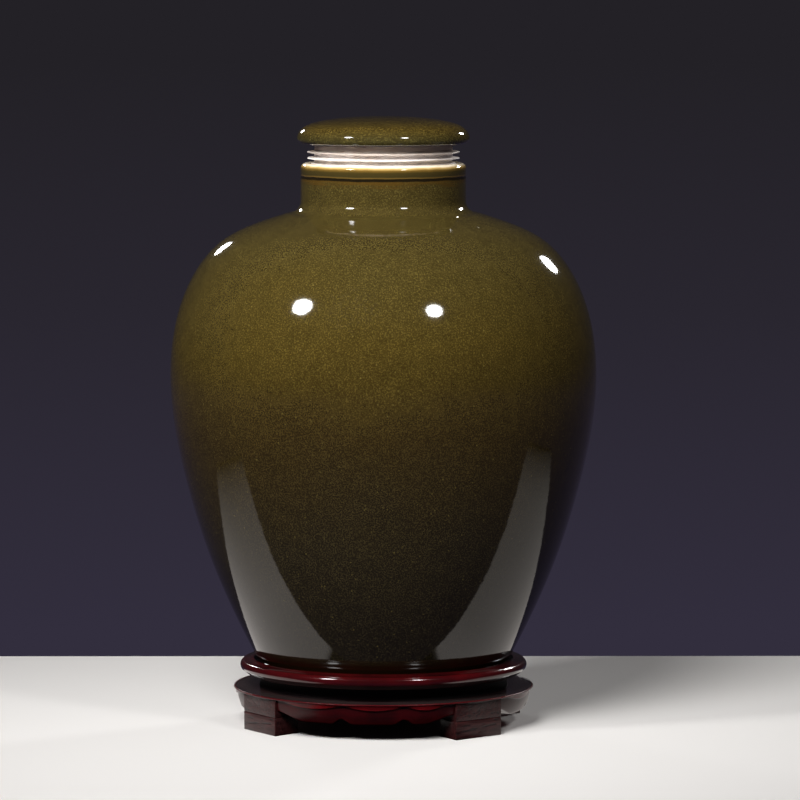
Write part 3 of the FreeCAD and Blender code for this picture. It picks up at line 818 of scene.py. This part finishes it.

# %% [markdown]
# ## Red lacquer
# The stand is hardwood under a dark red gloss lacquer. On edges and high rounds the red is painted
# brighter, a painted sheen, and in hollows it is painted nearly black, a painted shade. To know
# which is which, each point of a carved piece is compared with its neighbours: if it stands out
# from them along its normal, it is an edge. That measure is stored on the mesh, and the material
# reads it.

# %% Where the lacquer gets painted sheen and painted shade
def mark_edges(piece, reach_mm, rounds=3):
    """Stores, for each point, how far it stands out from its neighbours: 0.5 is flat."""
    mesh = piece.data
    count = len(mesh.vertices)
    places = np.zeros(count * 3)
    mesh.vertices.foreach_get("co", places)
    places = places.reshape(-1, 3)
    normals = np.zeros(count * 3)
    mesh.vertex_normals.foreach_get("vector", normals)
    normals = normals.reshape(-1, 3)
    ends = np.zeros(len(mesh.edges) * 2, int)
    mesh.edges.foreach_get("vertices", ends)
    one, other = ends.reshape(-1, 2).T
    share = np.zeros(count)
    links = np.zeros(count)
    away = places[one] - places[other]
    length = np.maximum(np.linalg.norm(away, axis=1), 1e-9)
    for here, sign in ((one, 1), (other, -1)):
        np.add.at(share, here, sign * (away * normals[here]).sum(axis=1) / length)
        np.add.at(links, here, 1)
    share = share / np.maximum(links, 1)
    weight = np.minimum(length / (reach_mm * MM), 1.0)
    for _ in range(rounds):
        total = share.copy()
        parts = np.ones(count)
        for here, there in ((one, other), (other, one)):
            np.add.at(total, here, share[there] * (1 - weight))
            np.add.at(parts, here, 1 - weight)
        share = total / parts
    attribute = mesh.attributes.new("edge", "FLOAT", "POINT")
    attribute.data.foreach_set("value", np.clip(0.5 + share, 0, 1))
    print(piece.name, "edge measure", [round(float(v), 2) for v in (share.min(), share.max())])


for piece in (top_ring, waist, apron):
    mark_edges(piece, 2.0)

# %% [markdown]
# The lacquer is a clear coat over stained wood. The wood's grain runs straight across the whole
# stand, because the rings are cut from one board, and shows only as a slight change of tone. Five
# finishes share the recipe: glossy red on the top ring, a duller red on the carving, a brighter
# one in the crescents that is a painted sheen, a greyed dark one on the shelf that is a painted
# reflection, and a matt black on the waist.

# %% Lacquer over wood
def lacquer(name, dark, red, painted_sheen_red, roughness, clear, mirror=0.5):
    material, tree, shader = new_material(name)
    place = object_place(tree)
    along = add_node(tree, "ShaderNodeMapping", {
        "Vector": place, "Scale": (0.06, 1.0, 1.0)}).outputs[0]
    grain = noise(tree, along, 2.5, 6.0, 0.6)
    cloud = noise(tree, place, 18, 3.0)
    tone = calc(tree, "MULTIPLY_ADD", grain, 0.6, cloud)
    tone_at = remap(tree, tone, 0.6, 1.0)
    body = mix(tree, tone_at, colour(dark), colour(red))
    # painted sheen: edges get a brighter red; painted shade: hollows go nearly black
    edge = add_node(tree, "ShaderNodeAttribute", attribute_name="edge").outputs["Fac"]
    painted_sheen_share = remap(tree, edge, 0.52, 0.72)
    coat = mix(tree, painted_sheen_share, body, colour(painted_sheen_red))
    painted_shade_share = remap(tree, edge, 0.47, 0.3, high=0.8)
    with_painted_shade = mix(tree, painted_shade_share, coat, colour("#0d0304"))
    ripple = noise(tree, place, 6, 3.0)
    relief = calc(tree, "MULTIPLY_ADD", grain, 0.25, ripple)
    emboss(tree, shader, relief, 0.3, 0.0002)
    tree.links.new(with_painted_shade, shader.inputs["Base Color"])
    shader.inputs["Roughness"].default_value = roughness
    shader.inputs["IOR"].default_value = 1.5
    shader.inputs["Specular IOR Level"].default_value = mirror
    shader.inputs["Coat Weight"].default_value = clear
    shader.inputs["Coat Roughness"].default_value = 0.05
    return material


red_lacquer = lacquer("red_lacquer_on_hardwood", "#1c0304", "#380507", "#5c0a0f", 0.16, 0.5)
carved_lacquer = lacquer("red_lacquer_on_carving", "#1c0304", "#300406", "#52090f", 0.34, 0.0, 0.3)
# the crescents' brighter red is a painted sheen
crescent_lacquer = lacquer(
    "painted_sheen_lacquer_in_crescents", "#3a0406", "#5a060a", "#8a2026", 0.3, 0.0, 0.3)
# the shelf's greyed red is a painted grey reflection
shelf_lacquer = lacquer("painted_reflection_lacquer_on_shelf", "#2a2121", "#342a29", "#3c2020", 0.22, 0.3, 0.5)
black_lacquer = lacquer("black_lacquer_waist", "#040202", "#070304", "#0c0405", 0.7, 0.0, 0.15)
print("lacquers", red_lacquer.name, carved_lacquer.name, black_lacquer.name)

# %% [markdown]
# ## The feet's wood
# The feet and legs are the same hardwood, but only stained and rubbed with a thin coat. They look
# duller, a greyed maroon-brown, with open pores as short dark dashes along the grain. On the feet
# the pattern follows the place each point had on the bench, so the grain runs along every foot's
# front, whichever way the foot now stands.

# %% Stained wood
def stained_wood(name, tones, pore, on_bench):
    material, tree, shader = new_material(name)
    if on_bench:
        place = add_node(tree, "ShaderNodeAttribute", attribute_name="bench").outputs["Vector"]
    else:
        place = object_place(tree)
    along = add_node(tree, "ShaderNodeMapping", {
        "Vector": place, "Scale": (0.12, 1.0, 1.0)}).outputs[0]
    grain = noise(tree, along, 1.8, 5.0, 0.65)
    wood = ramp_colour(tree, grain, tones)
    pores = noise(tree, along, 1.5, 2.0)
    open_pore = remap(tree, pores, 0.42, 0.36)
    body = mix(tree, open_pore, wood, colour(pore))
    relief = calc(tree, "MULTIPLY_ADD", open_pore, -1.0, grain)
    emboss(tree, shader, relief, 0.5, 0.00025)
    tree.links.new(body, shader.inputs["Base Color"])
    return material, shader


STAIN = [(0.3, "#1a0809"), (0.5, "#2e1414"), (0.72, "#442423")]
foot_wood, shader = stained_wood("stained_foot_wood", STAIN, "#140709", True)
shader.inputs["Roughness"].default_value = 0.32
shader.inputs["Specular IOR Level"].default_value = 0.3
shader.inputs["IOR"].default_value = 1.5
leg_wood, shader = stained_wood("stained_leg_wood", STAIN, "#140709", False)
shader.inputs["Roughness"].default_value = 0.3
shader.inputs["Specular IOR Level"].default_value = 0.3
shader.inputs["IOR"].default_value = 1.5
PLAIN = [(0.3, "#8a5f3a"), (0.5, "#a87a4e"), (0.72, "#c29564")]
bare_wood, shader = stained_wood("bare_hardwood", PLAIN, "#5b3a20", False)
shader.inputs["Roughness"].default_value = 0.6
shader.inputs["IOR"].default_value = 1.5
print("woods", foot_wood.name, leg_wood.name, bare_wood.name)

# %% [markdown]
# ## Zinc-plated steel
# The four screws under the stand are ordinary zinc-plated wood screws: a pale bluish metal, with
# fine turning marks that make its shine a little uneven.

# %% Screw steel
screw_steel, tree, shader = new_material("zinc_plated_steel")
place = object_place(tree)
marks = noise(tree, place, 0.6, 3.0)
zinc = ramp_colour(tree, marks, [
    (0.3, "#9fa3a8"), (0.7, "#c3c6ca")])
shine = remap(tree, marks, low=0.22, high=0.42)
tree.links.new(zinc, shader.inputs["Base Color"])
tree.links.new(shine, shader.inputs["Roughness"])
shader.inputs["Metallic"].default_value = 1.0
print("screws:", screw_steel.name)

# %% [markdown]
# ## Giving out the materials
# Most pieces take one material all over. The jar takes the cream glaze on every face that looks
# into the jar, and bare clay on its underside. The lid's plug is bare clay too. The legs are told
# from the rest of the apron by their place.

# %% Materials by face
def dress(piece, materials, choose=None):
    """Gives a piece its materials. choose says which one a face gets."""
    piece.data.materials.clear()
    for material in materials:
        piece.data.materials.append(material)
    if choose:
        for face in piece.data.polygons:
            middle, normal = face.center, face.normal
            radius = math.hypot(middle.x, middle.y)
            outward = (middle.x * normal.x + middle.y * normal.y) / max(radius, 1e-6)
            face.material_index = choose(face, radius / MM, face.center.z / MM, outward)


def jar_finish(face, radius, height, outward):
    if height < SEAT + 3 and radius < 84.5:
        return 2
    if height > RIM - 2 and radius < rim_middle - 1.2:
        return 1
    return 1 if height > SEAT + 5 and (outward < -0.02 or radius < 40) else 0


def lid_finish(face, radius, height, outward):
    return 1 if height < LID_UNDER - 0.3 or (radius < PLUG_R and face.normal.z < 0) else 0


def apron_finish(face, radius, height, outward):
    turn = math.degrees(math.atan2(face.center.x, -face.center.y))
    for angle in FOOT_ANGLES.values():
        apart = math.radians((turn - angle + 180) % 360 - 180)
        flat = radius * math.cos(apart)
        beside = abs(radius * math.sin(apart)) < flat * math.tan(math.radians(FOOT_HALF)) + 0.05
        in_front = flat > FOOT_FRONT - FOOT_DEPTH - 0.5
        if beside and abs(apart) < 0.5 and height < BEAD_LOW and in_front:
            if flat > FOOT_FRONT - 0.8 or height < FOOT_TOP + 0.7 or abs(outward) < 0.5:
                return 1
    if height > SHELF - 0.2 and radius < BEAD_R - 1.5:
        return 3
    return 2 if height < BEAD_LOW and radius > CRESCENT_R - 0.35 else 0


dress(jar, [jar_glaze, cream_glaze, bare_clay], jar_finish)
dress(lid, [lid_glaze, bare_clay], lid_finish)
dress(seal, [seal_rubber])
dress(top_ring, [red_lacquer])
dress(waist, [black_lacquer])
dress(apron, [carved_lacquer, leg_wood, crescent_lacquer, shelf_lacquer], apron_finish)
for foot in feet.values():
    dress(foot, [foot_wood])
print("jar faces by finish", np.bincount([f.material_index for f in jar.data.polygons]))

# %% [markdown]
# Three of the loaded nodes have the right shape already and stay: the seat panel, which shows
# when the jar is lifted out, and the dowels and screws inside the stand. They only change their
# material.

# %% Materials for the nodes that stay
KEPT = {"seat_panel": black_lacquer, "foot_dowels": bare_wood, "ring_screws": screw_steel}
for node, material in KEPT.items():
    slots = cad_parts[node].material_slots
    for slot in slots:
        slot.material = material
    print(node, len(slots), "slot")

# %% [markdown]
# ## Riding on the bodies
# Every new piece rides on the body that it belongs to, and hides the loaded nodes that it stands
# for.

# %% Bodies and nodes
def stand_in(piece, body, slot, *nodes):
    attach(piece, body)
    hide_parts(*nodes)


stand_in(jar, "jar", "jar_glaze", "jar_body")
stand_in(lid, "lid", "lid_glaze", "lid")
stand_in(seal, "lid", "seal_rubber", "lid_seal")
stand_in(top_ring, "stand", "stand_lacquer", "top_ring")
stand_in(waist, "stand", "waist_lacquer", "waist_ring")
stand_in(apron, "stand", "stand_lacquer", "apron_ring")
for node, foot in feet.items():
    stand_in(foot, "stand", "foot_wood", node)
print("pieces in place")

# %% [markdown]
# ## Floor and light
# The floor is plain and pale. Two small round lamps in front and two behind draw the glints on
# the shoulders. A fifth, large and soft, gives most of the light and leaves no glint. All beams
# are kept narrow, so the light lies in a pool and the room stays dark. One glowing card lies just
# under the floor, with a dark gap in its middle that is a painted shadow of the stand. Only
# reflections see it, and it gives the two pale wedges on the lower belly. The floor itself sends
# no light back to the pieces and is not seen in reflections, or it would add to the card.

# %% Floor
nothing_selected()
FLOOR_SIZE = 4.0
FLOOR_FAR_EDGE = 0.33
bpy.ops.mesh.primitive_plane_add(size=FLOOR_SIZE, location=(0, FLOOR_FAR_EDGE - FLOOR_SIZE / 2, 0))
floor = bpy.context.object
floor.name = "floor"
floor_paint, tree, shader = new_material("pale_floor")
shader.inputs["Base Color"].default_value = colour("#d8d5d2")
shader.inputs["Roughness"].default_value = 0.8
shader.inputs["Specular IOR Level"].default_value = 0.0
floor.data.materials.append(floor_paint)
floor.visible_glossy = False
floor.visible_diffuse = False

bpy.ops.mesh.primitive_plane_add(size=1, location=(0.05, 0.01, -0.0005))
card = bpy.context.object
card.name = "reflector_card"
bpy.ops.transform.resize(value=(1.34, 0.24, 1))
card_paint, tree, shader = new_material("white_card")
place = object_place(tree)
across = axis_of(tree, place, "X")
across = calc(tree, "ADD", across, 0.5)
# the black stops in the middle are a painted shadow of the stand on the card
lit = ramp_colour(tree, across, [
    (0.0, "#000000"), (0.13, "#b5afaa"), (0.31, "#fdf5f0"), (0.405, "#fdf5f0"), (0.41, "#000000"),
    (0.515, "#000000"), (0.52, "#faf2ed"), (0.57, "#d8d1cc"), (0.80, "#b3aea9"), (1.0, "#000000")])
tree.links.new(lit, shader.inputs["Emission Color"])
shader.inputs["Base Color"].default_value = (0, 0, 0, 1)
shader.inputs["Emission Strength"].default_value = 1.0
card.data.materials.append(card_paint)
for way in ("camera", "diffuse", "transmission", "volume_scatter", "shadow"):
    setattr(card, "visible_" + way, False)

# %% Lamps and the dark room
def lamp(name, azimuth, elevation, distance, power, size, spread, aim):
    """A round soft lamp, placed by its direction from the object; azimuth 0 is the front."""
    data = bpy.data.lights.new(name, "AREA")
    data.shape = "DISK"
    data.size = size
    data.energy = power
    data.spread = math.radians(spread)
    made = bpy.data.objects.new(name, data)
    bpy.context.scene.collection.objects.link(made)
    turn, rise = math.radians(azimuth), math.radians(elevation)
    flat = math.cos(rise)
    place = np.array((math.sin(turn) * flat, -math.cos(turn) * flat, math.sin(rise)))
    made.location = np.array(aim) + place * distance
    made.rotation_euler = (math.radians(90) - rise, 0, turn)
    return made


AIM = (0, 0, 0.28)
lamp("lamp_front_left", -51, 34, 2.2, 1.5, 0.38, 45, AIM)
lamp("lamp_front_right", 31, 34, 2.2, 0.8, 0.32, 45, AIM)
soft = lamp("lamp_soft_front", -20, 36, 1.6, 7.6, 0.8, 75, AIM)
soft.visible_glossy = False
lamp("lamp_back_left", -158, 17, 2.0, 0.25, 0.2, 45, AIM)
lamp("lamp_back_right", 142, 22, 2.0, 0.8, 0.28, 45, AIM)

world = bpy.data.worlds.new("dark_room")
world.use_nodes = True
bpy.context.scene.world = world
room = world.node_tree.nodes["Background"]
tree = world.node_tree
way = add_node(tree, "ShaderNodeTexCoord").outputs["Generated"]
rise = axis_of(tree, way, "Z")
depth = remap(tree, rise, -0.13, 0.0)
dusk = ramp_colour(tree, depth, [
    (0.0, "#322e3d"), (0.45, "#29262f"), (0.8, "#232126")])
tree.links.new(dusk, room.inputs["Color"])
